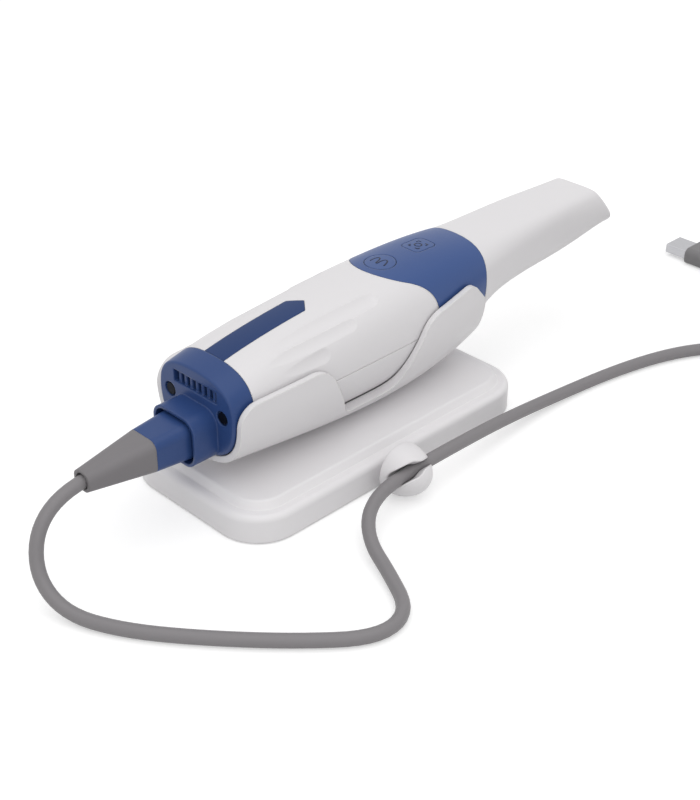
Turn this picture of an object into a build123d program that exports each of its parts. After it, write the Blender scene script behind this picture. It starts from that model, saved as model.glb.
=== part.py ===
import os
from collections import namedtuple
from math import cos, pi, radians, sin, tan

from build123d import *

# Intraoral scanner lying in its desk holder, in millimetres, +Z up.
# The origin is the middle of the holder's underside and +X runs toward the scanning tip.

# Clearances
seam = 0.15                  # gap along a visible joint of the housing
fit = 0.1                    # gap round a piece seated in another
screw_fit = 0.05             # radial gap round a screw

# Holder base
base_length = 150.0
base_width = 78.0
base_corner = 18.0
base_wall = 2.6
rim_lift = 0.6               # lower edge of the cover above the table
shoulder_height = 12.0
shoulder_round = 2.6
plateau_top = 15.0
plateau_inset = 4.6
plateau_slope = 35.0         # degrees that the step leans in
plateau_round = 1.2
cover_thickness = 3.0        # under the shoulder
mat_thickness = 1.0
mat_inset = 6.0
bottom_plate_thickness = 2.0
boss_inset = 14.0
boss_radius = 4.0
base_screw_radius = 1.5
base_screw_length = 6.0
base_screw_head = 2.8
base_screw_head_height = 1.2
ballast_length = 84.0
ballast_width = 46.0
ballast_thickness = 3.0

# Handle of the scanner
rear_x = -67.5
front_x = 70.0
cap_length = 9.5
shell_wall = 2.2
parting_z = 43.3
upper_fill = 0.71            # fullness of the section's upper corners, 0.55 is an ellipse
lower_fill = 0.65
belly_top = 68.2
belly_bottom = 20.3

# Sections from the rear face to the front ring, with the cradle's underside below each
Station = namedtuple("Station", "x top bottom half_width widest cradle_under")
rear_station = Station(rear_x, 58.5, 25.0, 20.9, 44.0, 22.2)
shoulder_station = Station(-30.0, 65.2, 22.0, 22.6, 45.5, 17.4)
belly_station = Station(10.0, belly_top, belly_bottom, 22.8, 46.5, 14.2)
neck_station = Station(45.0, 68.9, 23.2, 21.7, 48.0, 16.8)
front_station = Station(front_x, 67.4, 29.5, 19.1, 51.0, 23.6)
stations = [rear_station, shoulder_station, belly_station, neck_station, front_station]

# Cradle
cradle_side_gap = 0.6
cradle_seat_gap = 0.3
cradle_wall = 2.4
cradle_rear_inset = 0.9      # from the rear face of the handle
cradle_front_inset = 4.0     # from the front ring
cradle_open_height = 64.0
rear_lobe_z = 52.2
rear_lobe_drop = 1.0         # lobe's rear end below its front end
rear_lobe_front_x = -24.5
dip_z = 25.8
dip_rear_x = -12.5
dip_front_x = 13.5
front_lobe_rear_x = 31.0
front_lobe_rear_z = 51.6
front_lobe_peak_x = 57.0
front_lobe_peak_z = 56.6
front_lobe_corner_z = 46.5
rear_lobe_round = 9.0
dip_entry_round = 11.0
dip_round = 6.0
dip_exit_round = 11.0
front_lobe_round = 14.0
front_peak_round = 6.0
front_corner_round = 5.0
cradle_screw_x = (2.0, 26.0)
cradle_screw_radius = 1.5
cradle_screw_bite = 3.6
cradle_screw_head = 2.8
cradle_screw_head_height = 2.0

# Cable clip on the side of the base
cable_radius = 2.6
clip_x = -8.3
clip_z = 10.9
clip_stand_off = 6.5         # from the base wall to the bud
clip_radius = 10.5
clip_reach = 14.9
clip_stem_radius = 3.4
clip_stem_z = 5.8
clip_channel_depth = 3.9     # from the bud's back to the cable
clip_channel_z = 10.0
clip_channel_gap = 0.35
clip_slot = 2.6
clip_mouth = 5.4             # slot height at its flared end

# Rear cap
cap_wall = 2.6
cap_round = 1.0
vent_width = 24.0
vent_height = 5.1
vent_z = 51.75
vent_depth = 1.0
vent_bar = 1.4
vent_bars = 7
cap_screw_y = 14.6
cap_screw_z = 44.6
cap_screw_well = 3.0
cap_screw_well_depth = 1.4
cap_screw_radius = 1.2
cap_screw_head = 2.3
cap_screw_head_height = 1.2
cap_boss_radius = 3.7
frame_boss_wall = 1.2

# Collar and lead
plug_z = 35.4
collar_width = 23.2
collar_height = 20.4
collar_corner = 6.0
collar_wall = 1.2
collar_length = 10.7
plug_gap = 0.8               # dark slot between collar and plug
plug_length = 24.5
plug_end_width = 15.6
plug_end_height = 13.4
plug_corner = 3.6
spigot_radius = 3.8
relief_length = 26.8
relief_end_width = 8.9
relief_end_height = 7.8
relief_end_corner = 3.3
relief_mouth_radius = 3.2
relief_mouth_depth = 6.0

# Strip on top of the handle
strip_half_width = 5.3
strip_depth = 0.8
strip_shoulder_x = -18.0
strip_tip_x = -13.5
strip_round = 0.6

# Flutes on the shoulders: front end, rear end and lean from the vertical in degrees
Flute = namedtuple("Flute", "front_x rear_x lean")
flutes = [Flute(6.0, -46.0, 37.0), Flute(-8.0, -50.0, 51.0), Flute(-24.0, -50.0, 68.0)]
flute_radius = 8.0
flute_depth = 0.8
flute_fade = 0.5             # height of the cutter over the skin at the rear end

# Button panel
panel_length = 52.7
panel_nose_radius = 17.0
panel_flare = 29.0           # degrees, flank of the tongue to the axis
ring_length = 30.0
button_gap = 0.25
scan_button_setback = 42.8   # from the front ring
scan_button_radius = 6.2
capture_button_setback = 21.1
capture_button_length = 11.6
capture_button_width = 9.4
capture_button_corner = 2.2
button_travel = 0.6
button_flange = 0.8          # flange past the button's side
button_flange_height = 1.0
button_foot_z = belly_top - 4.4
switch_gap = 0.1             # switch below the fully pressed button
switch_size = 5.2
switch_height = 1.2
plunger_radius = 1.4
plunger_height = 0.6
button_board_thickness = 1.2
button_board_margin = 8.0    # past the middle of each button
button_board_half_width = 10.8
post_y = 9.2
post_radius = 1.4

# Scanning tip and nose
TipStation = namedtuple("TipStation", "x top bottom half_width widest fill")
tip_stations = [
    TipStation(front_x, front_station.top, front_station.bottom, front_station.half_width, 51.0, 0.70),
    TipStation(front_x + 12.0, 66.7, 36.5, 16.9, 52.5, 0.76),
    TipStation(front_x + 30.0, 66.4, 39.8, 14.3, 54.0, 0.84),
    TipStation(front_x + 52.0, 66.0, 41.9, 12.4, 55.0, 0.90),
    TipStation(front_x + 104.0, 65.2, 45.4, 10.9, 55.5, 0.92),
]
tip_gap = 0.2
tip_wall = 1.6
tip_fit = 0.3
tip_length = 80.0            # to the upper edge of the slanted end
tip_end_z = 65.6
tip_end_slope = 47.0         # degrees below the axis
tip_end_wall = 2.0
tip_end_round = 1.8
mirror_thickness = 1.0
mirror_fit = 0.15
window_setback = 10.0        # window's rear edge behind that edge
window_length = 16.0
window_half_width = 7.6
window_corner = 2.0
window_cut_z = 53.0          # inside the tip's hollow
snout_length = 42.0
flange_depth = 8.0
tunnel_width = 16.0
tunnel_height = 12.0
tunnel_corner = 3.0
tunnel_z = 54.0
nose_window_thickness = 1.2
nose_window_ledge = 1.2

# Fan behind the vent
rear_frame_thickness = 2.6
fan_z = 44.0
fan_size = 23.6
fan_depth = 8.0
fan_bore = 10.6
fan_corner = 2.0
fan_strut = 1.6
fan_plate = 1.4
fan_hub_radius = 4.0
fan_blade_reach = 10.0
fan_blade_thickness = 0.8
fan_blade_pitch = 38.0
fan_blades = 7
fan_blade_fill = 0.9         # share of the rotor's depth that a blade takes
fan_pin_radius = 1.0
fan_pin_fit = 0.06
fan_end_gap = 0.4

# Chassis, boards and optics inside the handle
chassis_z = 32.0
chassis_thickness = 1.5
chassis_fan_gap = 11.4       # behind the fan's frame
chassis_setback = 16.0       # from the front ring
chassis_half_width = 9.5
chassis_screw_inset = 5.0
chassis_screw_y = 6.2
chassis_screw_radius = 1.0
chassis_screw_length = 5.0
chassis_screw_head = 1.9
chassis_screw_head_height = 1.3
chassis_boss_radius = 2.6
chassis_boss_height = 14.0
standoff_rear_inset = 10.0
standoff_front_inset = 4.0
standoff_y = 7.4
standoff_radius = 1.8
standoff_height = 3.0
board_rear_inset = 2.0       # from the chassis
board_optics_gap = 5.0
board_half_width = 10.4
board_thickness = 1.6
chip_size = 13.0
chip_height = 1.3
chip_inset = 18.0            # from the board's rear edge
memory_length = 9.0
memory_width = 7.0
memory_inset = 10.0          # from the board's front edge
memory_y = 4.6
sink_length = 22.0
sink_half_width = 9.0
sink_base = 1.6
sink_fin_height = 5.0
sink_fin = 0.9
sink_fins = 7
optics_gap = 2.0             # between the barrels and the nose
optics_length = 24.0
optics_half_width = 13.2
optics_foot_half_width = 7.0
optics_foot_length = 14.0
optics_z = 52.0
optics_height = 12.5
barrel_y = 6.6
barrel_radius = 5.3
barrel_reach = 5.0
lens_radius = 4.0
lens_depth = 1.6
sensor_board_thickness = 1.4

# Coil of the cable that lies past the holder, its tie and plug
coil_x = 212.0
coil_y = -92.0
coil_lift = 1.4
coil_inner_turn = 26.0
coil_layers = 5
tie_thickness = 1.2
tie_angle = 16.0
tie_place = 60.0
plug_grip_length = 34.0
plug_grip_width = 15.6
plug_grip_height = 8.0
plug_grip_corner = 3.0
plug_grip_y = -44.0
plug_grip_x = 240.0
plug_shell_width = 12.0
plug_shell_height = 4.5
plug_shell_length = 12.0
plug_shell_wall = 0.4
plug_shell_corner = 0.6
tongue_height = 1.8
tongue_setback = 1.0

# Places along the handle that follow from the sizes above
cap_front_x = rear_x + cap_length
cradle_rear_x = rear_x + cradle_rear_inset
cradle_front_x = front_x - cradle_front_inset
clip_back_y = -base_width / 2 - clip_stand_off
clip_channel_y = clip_back_y - clip_channel_depth
clip_apex_y = clip_back_y - clip_reach
panel_apex_x = front_x - panel_length
ring_back_x = front_x - ring_length
scan_button_x = front_x - scan_button_setback
capture_button_x = front_x - capture_button_setback
button_board_x = (scan_button_x - button_board_margin, capture_button_x + button_board_margin)
tip_end_x = front_x + tip_length
window_x = tip_end_x - window_setback + window_length / 2
fan_rear_x = cap_front_x + rear_frame_thickness
fan_front_x = fan_rear_x + fan_depth
optics_front_x = front_x - flange_depth - optics_gap - barrel_reach
optics_rear_x = optics_front_x - optics_length
chassis_rear_x = fan_front_x + chassis_fan_gap
chassis_front_x = front_x - chassis_setback
chassis_screw_x = (chassis_rear_x + chassis_screw_inset, optics_rear_x - chassis_screw_radius)
board_rear_x = chassis_rear_x + board_rear_inset
board_front_x = optics_rear_x - board_optics_gap
standoff_x = (board_rear_x + standoff_rear_inset, board_front_x - standoff_front_inset)
chip_x = board_rear_x + chip_inset
memory_x = board_front_x - memory_inset

# Route of the cable from the strain relief to the coil, and from the coil to the plug
plug_end_x = rear_x - plug_length
relief_end_x = plug_end_x - relief_length
table_z = cable_radius + 0.1
cable_route = [
    (relief_end_x + relief_mouth_depth, 0.0, plug_z),
    (-127.5, 0.0, plug_z),
    (-141.0, -1.0, 25.0),
    (-145.0, -6.5, 10.0),
    (-143.5, -22.0, table_z),
    (-131.0, -46.0, table_z),
    (-103.0, -79.5, table_z),
    (-74.5, -104.0, table_z),
    (-54.5, -98.0, table_z),
    (-47.2, -68.5, 5.0),
    (-36.5, -54.2, 8.4),
    (-19.5, clip_channel_y, clip_channel_z),
    (13.0, clip_channel_y + 0.2, clip_channel_z),
    (50.0, -47.2, 6.4),
    (88.0, -47.4, table_z),
    (122.0, -52.2, table_z),
    (150.0, -60.0, table_z),
    (169.5, -71.5, table_z),
    (179.8, -88.0, coil_lift + cable_radius - 0.2),
    (182.9, -103.4, coil_lift + cable_radius),
]
tail_route = [
    (coil_x + coil_inner_turn + 2 * cable_radius, coil_y, 9.0),
    (coil_x + coil_inner_turn + 2 * cable_radius + 0.4, coil_y + 14.0, 7.8),
    (plug_grip_x + 1.0, coil_y + 27.0, plug_grip_height / 2 + 0.6),
    (plug_grip_x, coil_y + 38.0, plug_grip_height / 2),
    (plug_grip_x, plug_grip_y, plug_grip_height / 2),
]

# Heights that follow from the sizes above
plate_top = mat_thickness + bottom_plate_thickness
cavity_roof = shoulder_height - cover_thickness
chassis_top = chassis_z + chassis_thickness
board_z = chassis_top + standoff_height
board_top = board_z + board_thickness
plunger_top = button_foot_z - button_travel - switch_gap
button_board_top = plunger_top - plunger_height - switch_height
button_board_z = button_board_top - button_board_thickness
coil_outer_turn = coil_inner_turn + 2 * cable_radius
coil_top = coil_lift + 2 * cable_radius * coil_layers
round_handle = 0.5523        # Bezier handle that draws a quarter of an ellipse
high = 90.0                  # above everything


def section_plane(x):
    return Plane(origin=(x, 0, 0), x_dir=(0, 1, 0), z_dir=(1, 0, 0))


def oval_section(x, half_width, top, bottom, widest, upper, lower):
    rise = widest + upper * (top - widest)
    fall = widest - lower * (widest - bottom)
    with BuildSketch(section_plane(x)) as section:
        with BuildLine():
            Bezier((half_width, widest), (half_width, rise), (upper * half_width, top), (0, top))
            Bezier((0, top), (-upper * half_width, top), (-half_width, rise), (-half_width, widest))
            Bezier((-half_width, widest), (-half_width, fall), (-lower * half_width, bottom), (0, bottom))
            Bezier((0, bottom), (lower * half_width, bottom), (half_width, fall), (half_width, widest))
        make_face()
    return section.sketch


def handle_sections(grow):
    return [
        oval_section(
            s.x, s.half_width + grow, s.top + grow, s.bottom - grow, s.widest, upper_fill, lower_fill
        )
        for s in stations
    ]


def tip_sections(grow):
    return [
        oval_section(s.x, s.half_width + grow, s.top + grow, s.bottom - grow, s.widest, s.fill, s.fill)
        for s in tip_stations
    ]


def trough_section(x, half_width, widest, bottom):
    fall = widest - lower_fill * (widest - bottom)
    with BuildSketch(section_plane(x)) as section:
        with BuildLine():
            Bezier((-half_width, widest), (-half_width, fall), (-lower_fill * half_width, bottom), (0, bottom))
            Bezier((0, bottom), (lower_fill * half_width, bottom), (half_width, fall), (half_width, widest))
            Line((half_width, widest), (half_width, cradle_open_height))
            Line((half_width, cradle_open_height), (-half_width, cradle_open_height))
            Line((-half_width, cradle_open_height), (-half_width, widest))
        make_face()
    return section.sketch


# Forms that several pieces are cut from
with BuildPart() as handle_form:
    loft(sections=handle_sections(0.0))

with BuildPart() as handle_cavity:
    loft(sections=handle_sections(-shell_wall))

with BuildPart() as handle_core:
    loft(sections=handle_sections(-shell_wall - fit))

with BuildPart() as strip_bed:
    loft(sections=handle_sections(-strip_depth))

with BuildPart() as tip_form:
    loft(sections=tip_sections(0.0))

with BuildPart() as tip_cavity:
    loft(sections=tip_sections(-tip_wall))

with BuildPart() as tip_core:
    loft(sections=tip_sections(-tip_wall - tip_fit))

handle_skin = handle_form.part.shells()[0]


# Holder: anti-slip mat glued under the bottom plate
with BuildPart() as anti_slip_mat:
    with BuildSketch(Plane.XY):
        RectangleRounded(base_length - 2 * mat_inset, base_width - 2 * mat_inset, base_corner - mat_inset)
    extrude(amount=mat_thickness)

base_screw_span_x = base_length - 2 * boss_inset
base_screw_span_y = base_width - 2 * boss_inset

# Bottom plate that closes the cover, with counterbored screw holes
with BuildPart() as base_plate:
    with BuildSketch(Plane.XY.offset(mat_thickness)):
        inset = base_wall + fit
        RectangleRounded(base_length - 2 * inset, base_width - 2 * inset, base_corner - inset)
    extrude(amount=bottom_plate_thickness)
    with BuildSketch(Plane.XY.offset(mat_thickness)):
        with GridLocations(base_screw_span_x, base_screw_span_y, 2, 2):
            Circle(base_screw_radius + screw_fit)
    extrude(amount=bottom_plate_thickness, mode=Mode.SUBTRACT)
    with BuildSketch(Plane.XY.offset(mat_thickness)):
        with GridLocations(base_screw_span_x, base_screw_span_y, 2, 2):
            Circle(base_screw_head + screw_fit)
    extrude(amount=base_screw_head_height, mode=Mode.SUBTRACT)

# Cover with its soft step, hollow below, with four screw bosses
with BuildPart() as base_cover:
    with BuildSketch(Plane.XY.offset(rim_lift)):
        RectangleRounded(base_length, base_width, base_corner)
    extrude(amount=shoulder_height - rim_lift)
    fillet(base_cover.faces().sort_by(Axis.Z)[-1].edges(), shoulder_round)
    with BuildSketch(Plane.XY.offset(shoulder_height)):
        RectangleRounded(
            base_length - 2 * plateau_inset, base_width - 2 * plateau_inset, base_corner - plateau_inset
        )
    extrude(amount=plateau_top - shoulder_height, taper=plateau_slope)
    fillet(base_cover.faces().sort_by(Axis.Z)[-1].edges(), plateau_round)
    with BuildSketch(Plane.XY.offset(rim_lift)):
        RectangleRounded(base_length - 2 * base_wall, base_width - 2 * base_wall, base_corner - base_wall)
    extrude(amount=cavity_roof - rim_lift, mode=Mode.SUBTRACT)
    with BuildSketch(Plane.XY.offset(plate_top)):
        with GridLocations(base_screw_span_x, base_screw_span_y, 2, 2):
            Circle(boss_radius)
    extrude(amount=cavity_roof - plate_top)
    with BuildSketch(Plane.XY.offset(plate_top)):
        with GridLocations(base_screw_span_x, base_screw_span_y, 2, 2):
            Circle(base_screw_radius + screw_fit)
    extrude(amount=base_screw_length - bottom_plate_thickness + base_screw_head_height, mode=Mode.SUBTRACT)
    with BuildSketch(Plane.XY.offset(cavity_roof)):
        with Locations([(x, 0) for x in cradle_screw_x]):
            Circle(cradle_screw_radius + screw_fit)
    extrude(amount=plateau_top - cavity_roof, mode=Mode.SUBTRACT)

with BuildPart() as base_screws:
    with BuildSketch(Plane.XY.offset(mat_thickness)):
        with GridLocations(base_screw_span_x, base_screw_span_y, 2, 2):
            Circle(base_screw_head)
    extrude(amount=base_screw_head_height)
    with BuildSketch(Plane.XY.offset(mat_thickness + base_screw_head_height)):
        with GridLocations(base_screw_span_x, base_screw_span_y, 2, 2):
            Circle(base_screw_radius)
    extrude(amount=base_screw_length - screw_fit)

# Steel plate that keeps the holder from tipping
with BuildPart() as ballast:
    with BuildSketch(Plane.XY.offset(plate_top)):
        Rectangle(ballast_length, ballast_width)
    extrude(amount=ballast_thickness)

# Cradle: a trough whose rim dips in the middle, with a flat foot on the plateau
with BuildPart() as trough_form:
    loft(
        sections=[
            trough_section(s.x, s.half_width + cradle_side_gap, s.widest, s.bottom - cradle_seat_gap)
            for s in stations
        ]
    )

with BuildPart() as cradle:
    loft(
        sections=[
            trough_section(s.x, s.half_width + cradle_side_gap + cradle_wall, s.widest, s.cradle_under)
            for s in stations
        ]
    )
    with BuildSketch(Plane.XZ):
        with BuildLine():
            rim = FilletPolyline(
                (cradle_rear_x, 0),
                (cradle_rear_x, rear_lobe_z - rear_lobe_drop),
                (rear_lobe_front_x, rear_lobe_z),
                (dip_rear_x, dip_z),
                (dip_front_x, dip_z),
                (front_lobe_rear_x, front_lobe_rear_z),
                (front_lobe_peak_x, front_lobe_peak_z),
                (cradle_front_x, front_lobe_corner_z),
                (cradle_front_x, 0),
                radius=[
                    rear_lobe_round,
                    dip_entry_round,
                    dip_round,
                    dip_exit_round,
                    front_lobe_round,
                    front_peak_round,
                    front_corner_round,
                ],
            )
            Line(rim @ 1, rim @ 0)
        make_face()
    extrude(amount=base_width, both=True, mode=Mode.INTERSECT)
    add(trough_form.part, mode=Mode.SUBTRACT)
    split(bisect_by=Plane.XY.offset(plateau_top), keep=Keep.TOP)
    with BuildSketch(Plane.XY.offset(plateau_top)):
        with Locations([(x, 0) for x in cradle_screw_x]):
            Circle(cradle_screw_radius + screw_fit)
    extrude(amount=cradle_screw_bite + screw_fit, mode=Mode.SUBTRACT)

with BuildPart() as cradle_screws:
    with BuildSketch(Plane.XY.offset(cavity_roof - cradle_screw_head_height)):
        with Locations([(x, 0) for x in cradle_screw_x]):
            Circle(cradle_screw_head)
    extrude(amount=cradle_screw_head_height)
    with BuildSketch(Plane.XY.offset(cavity_roof)):
        with Locations([(x, 0) for x in cradle_screw_x]):
            Circle(cradle_screw_radius)
    extrude(amount=plateau_top - cavity_roof + cradle_screw_bite)

# Cable clip: a domed bud on a stem, slit along its length so that the cable snaps in
with BuildPart() as cable_clip:
    with BuildSketch(Plane.XY.offset(clip_z)):
        with BuildLine():
            Bezier(
                (clip_x, clip_apex_y),
                (clip_x + round_handle * clip_radius, clip_apex_y),
                (clip_x + clip_radius, clip_back_y - round_handle * clip_reach),
                (clip_x + clip_radius, clip_back_y),
            )
            Polyline((clip_x + clip_radius, clip_back_y), (clip_x, clip_back_y), (clip_x, clip_apex_y))
        make_face()
    revolve(axis=Axis((clip_x, clip_back_y, clip_z), (0, 1, 0)))
    with BuildSketch(Plane.XZ.offset(base_width / 2)):
        with Locations((clip_x, clip_stem_z)):
            Circle(clip_stem_radius)
    extrude(amount=-clip_back_y - base_width / 2)
    with BuildSketch(section_plane(clip_x)):
        with Locations((clip_channel_y, clip_channel_z)):
            Circle(cable_radius + clip_channel_gap)
    extrude(amount=2 * clip_radius, both=True, mode=Mode.SUBTRACT)
    with BuildSketch(Plane.XZ.offset(-clip_channel_y)):
        with BuildLine():
            Polyline(
                (clip_x + clip_radius + 1, clip_channel_z - clip_slot / 2),
                (clip_x + clip_radius + 1, clip_channel_z + clip_slot / 2),
                (clip_x, clip_channel_z + clip_slot / 2),
                (clip_x - clip_radius - 1, clip_channel_z + clip_mouth / 2),
                (clip_x - clip_radius - 1, clip_channel_z - clip_mouth / 2),
                (clip_x, clip_channel_z - clip_slot / 2),
                close=True,
            )
        make_face()
    extrude(amount=clip_reach, mode=Mode.SUBTRACT)


# Tongue and front ring of the button panel, grown by a gap for the pieces beside it
def panel_zone(gap):
    radius = panel_nose_radius + gap
    centre_x = panel_apex_x + panel_nose_radius
    turn = radians(90 - panel_flare)
    flank = (centre_x - radius * cos(turn), radius * sin(turn))
    run = front_x + panel_nose_radius - flank[0]
    wide = (flank[0] + run, flank[1] + run * tan(radians(panel_flare)))
    with BuildPart() as zone:
        with BuildSketch(Plane.XY.offset(parting_z - gap)):
            with BuildLine():
                ThreePointArc(flank, (centre_x - radius, 0), (flank[0], -flank[1]))
                Polyline(flank, wide, (wide[0], -wide[1]), (flank[0], -flank[1]))
            make_face()
        extrude(amount=high - parting_z)
        with BuildSketch(Plane.YZ.offset(ring_back_x - gap)):
            with Locations((0, parting_z / 2)):
                Rectangle(base_width, parting_z)
        extrude(amount=front_x)
    return zone.part


panel_body = panel_zone(0.0)
panel_clearance = panel_zone(seam)


def strip_zone(gap):
    half = strip_half_width + gap
    with BuildPart() as zone:
        with BuildSketch(Plane.XY.offset(parting_z)) as outline:
            with BuildLine():
                Polyline(
                    (cap_front_x + seam - gap, half),
                    (strip_shoulder_x + gap, half),
                    (strip_tip_x + gap, 0),
                    (strip_shoulder_x + gap, -half),
                    (cap_front_x + seam - gap, -half),
                    close=True,
                )
            make_face()
            fillet(outline.vertices().group_by(Axis.X)[1:], strip_round)
        extrude(amount=high - parting_z)
        add(strip_bed.part, mode=Mode.SUBTRACT)
    return zone.part


# Point of the handle's skin in the section at x, seen at an angle from the vertical
def skin_point(x, lean):
    outward = Vector(0, sin(radians(lean)), cos(radians(lean)))
    ray = Axis((x, 0, belly_station.widest), outward)
    hits = handle_skin.find_intersection_points(ray)
    return max((hit[0] for hit in hits), key=lambda point: (point - ray.position).dot(outward)), outward


def flute_cutter(flute, side):
    front, out_front = skin_point(flute.front_x, side * flute.lean)
    rear, out_rear = skin_point(flute.rear_x, side * flute.lean)
    start = rear + out_rear * (flute_radius + flute_fade)
    end = front + out_front * (flute_radius - flute_depth)
    with BuildPart() as cutter:
        with BuildSketch(Plane(origin=start, z_dir=end - start)):
            Circle(flute_radius)
        extrude(amount=(end - start).length)
        with Locations(end):
            Sphere(flute_radius)
    return cutter.part


flute_cutters = [flute_cutter(flute, side) for flute in flutes for side in (-1, 1)]
strip_pocket = strip_zone(fit)

# Upper shell, with the strip's pocket and the flutes
with BuildPart() as upper_shell:
    add(handle_form.part)
    add(handle_cavity.part, mode=Mode.SUBTRACT)
    split(bisect_by=Plane.YZ.offset(cap_front_x + seam), keep=Keep.TOP)
    split(bisect_by=Plane.XY.offset(parting_z), keep=Keep.TOP)
    add(panel_clearance, mode=Mode.SUBTRACT)
    add(strip_pocket, mode=Mode.SUBTRACT)
    add(flute_cutters, mode=Mode.SUBTRACT)

with BuildPart() as top_strip:
    add(handle_form.part)
    add(strip_zone(0.0), mode=Mode.INTERSECT)

# Lower shell, with bosses that carry the chassis
chassis_screw_points = [(x, y) for x in chassis_screw_x for y in (-chassis_screw_y, chassis_screw_y)]

with BuildPart() as chassis_bosses:
    with BuildSketch(Plane.XY.offset(chassis_z)):
        with Locations(chassis_screw_points):
            Circle(chassis_boss_radius)
    extrude(amount=-chassis_boss_height)
    add(handle_form.part, mode=Mode.INTERSECT)

with BuildPart() as lower_shell:
    add(handle_form.part)
    add(handle_cavity.part, mode=Mode.SUBTRACT)
    split(bisect_by=Plane.YZ.offset(cap_front_x + seam), keep=Keep.TOP)
    split(bisect_by=Plane.XY.offset(parting_z - seam), keep=Keep.BOTTOM)
    add(panel_clearance, mode=Mode.SUBTRACT)
    add(chassis_bosses.part)
    with BuildSketch(Plane.XY.offset(chassis_z)):
        with Locations(chassis_screw_points):
            Circle(chassis_screw_radius + screw_fit)
    extrude(amount=-chassis_screw_length, mode=Mode.SUBTRACT)

# Rear cap, with its collar, barred vent and screw wells
with BuildPart() as cap_hollow:
    add(handle_cavity.part)
    split(bisect_by=Plane.YZ.offset(rear_x + cap_wall), keep=Keep.TOP)

cap_screw_points = [(-cap_screw_y, cap_screw_z), (cap_screw_y, cap_screw_z)]

with BuildPart() as rear_cap:
    add(handle_form.part)
    split(bisect_by=Plane.YZ.offset(cap_front_x), keep=Keep.BOTTOM)
    fillet(rear_cap.faces().sort_by(Axis.X)[0].edges(), cap_round)
    add(cap_hollow.part, mode=Mode.SUBTRACT)
    with BuildSketch(section_plane(rear_x + cap_wall)):
        with Locations(cap_screw_points):
            Circle(cap_boss_radius)
    extrude(amount=cap_front_x - rear_x - cap_wall)
    with BuildSketch(section_plane(rear_x)):
        with Locations((0, plug_z)):
            RectangleRounded(collar_width, collar_height, collar_corner)
    extrude(amount=-collar_length)
    with BuildSketch(section_plane(rear_x)):
        with Locations((0, plug_z)):
            RectangleRounded(
                collar_width - 2 * collar_wall, collar_height - 2 * collar_wall, collar_corner - collar_wall
            )
    extrude(amount=-collar_length, mode=Mode.SUBTRACT)
    with BuildSketch(section_plane(rear_x)):
        with Locations((0, plug_z)):
            Circle(spigot_radius + fit)
        with Locations(cap_screw_points):
            Circle(cap_screw_radius + screw_fit)
    extrude(amount=cap_front_x - rear_x, mode=Mode.SUBTRACT)
    with BuildSketch(section_plane(rear_x)):
        with Locations(cap_screw_points):
            Circle(cap_screw_well)
    extrude(amount=cap_screw_well_depth, mode=Mode.SUBTRACT)
    with BuildSketch(section_plane(rear_x)):
        with Locations((0, vent_z)):
            Rectangle(vent_width, vent_height)
    extrude(amount=vent_depth, mode=Mode.SUBTRACT)
    vent_slot = (vent_width - vent_bars * vent_bar) / (vent_bars + 1)
    with BuildSketch(section_plane(rear_x)):
        with Locations((0, vent_z)):
            with GridLocations(vent_slot + vent_bar, 1, vent_bars + 1, 1):
                Rectangle(vent_slot, vent_height)
    extrude(amount=cap_wall, mode=Mode.SUBTRACT)

# Rear frame inside the shells: takes the cap's screws and carries the fan
with BuildPart() as rear_frame:
    add(handle_core.part)
    split(bisect_by=Plane.YZ.offset(cap_front_x), keep=Keep.TOP)
    split(bisect_by=Plane.YZ.offset(fan_rear_x), keep=Keep.BOTTOM)
    with BuildSketch(section_plane(fan_rear_x)):
        with Locations(cap_screw_points):
            Circle(cap_screw_radius + frame_boss_wall)
    extrude(amount=fan_depth / 2)
    with BuildSketch(section_plane(cap_front_x)):
        with Locations((0, fan_z)):
            Circle(fan_bore)
        with Locations((0, plug_z - fan_bore / 2)):
            Rectangle(fan_bore, fan_bore / 2)
    extrude(amount=rear_frame_thickness, mode=Mode.SUBTRACT)
    with BuildSketch(section_plane(cap_front_x)):
        with Locations(cap_screw_points):
            Circle(cap_screw_radius + screw_fit)
    extrude(amount=fan_depth, mode=Mode.SUBTRACT)

with BuildPart() as cap_screws:
    with BuildSketch(section_plane(rear_x + cap_screw_well_depth - cap_screw_head_height)):
        with Locations(cap_screw_points):
            Circle(cap_screw_head)
    extrude(amount=cap_screw_head_height)
    with BuildSketch(section_plane(rear_x + cap_screw_well_depth)):
        with Locations(cap_screw_points):
            Circle(cap_screw_radius)
    extrude(amount=fan_rear_x + fan_depth / 4 - rear_x - cap_screw_well_depth)

# Fan: square frame with three struts that hold the bearing, and a bladed rotor on a pin
with BuildPart() as fan_frame:
    with BuildSketch(section_plane(fan_rear_x)):
        with Locations((0, fan_z)):
            RectangleRounded(fan_size, fan_size, fan_corner)
            Circle(fan_bore, mode=Mode.SUBTRACT)
    extrude(amount=fan_depth)
    with BuildSketch(section_plane(fan_front_x)):
        with Locations((0, fan_z)):
            Circle(fan_hub_radius)
            with PolarLocations(fan_bore / 2, 3):
                Rectangle(fan_bore + fan_corner, fan_strut)
    extrude(amount=-fan_plate)
    with BuildSketch(section_plane(fan_front_x)):
        with Locations((0, fan_z)):
            Circle(fan_pin_radius + fan_pin_fit)
    extrude(amount=-fan_plate, mode=Mode.SUBTRACT)

rotor_front_x = fan_front_x - fan_plate - fan_end_gap
rotor_rear_x = fan_rear_x + fan_end_gap
rotor_length = rotor_front_x - rotor_rear_x

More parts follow.
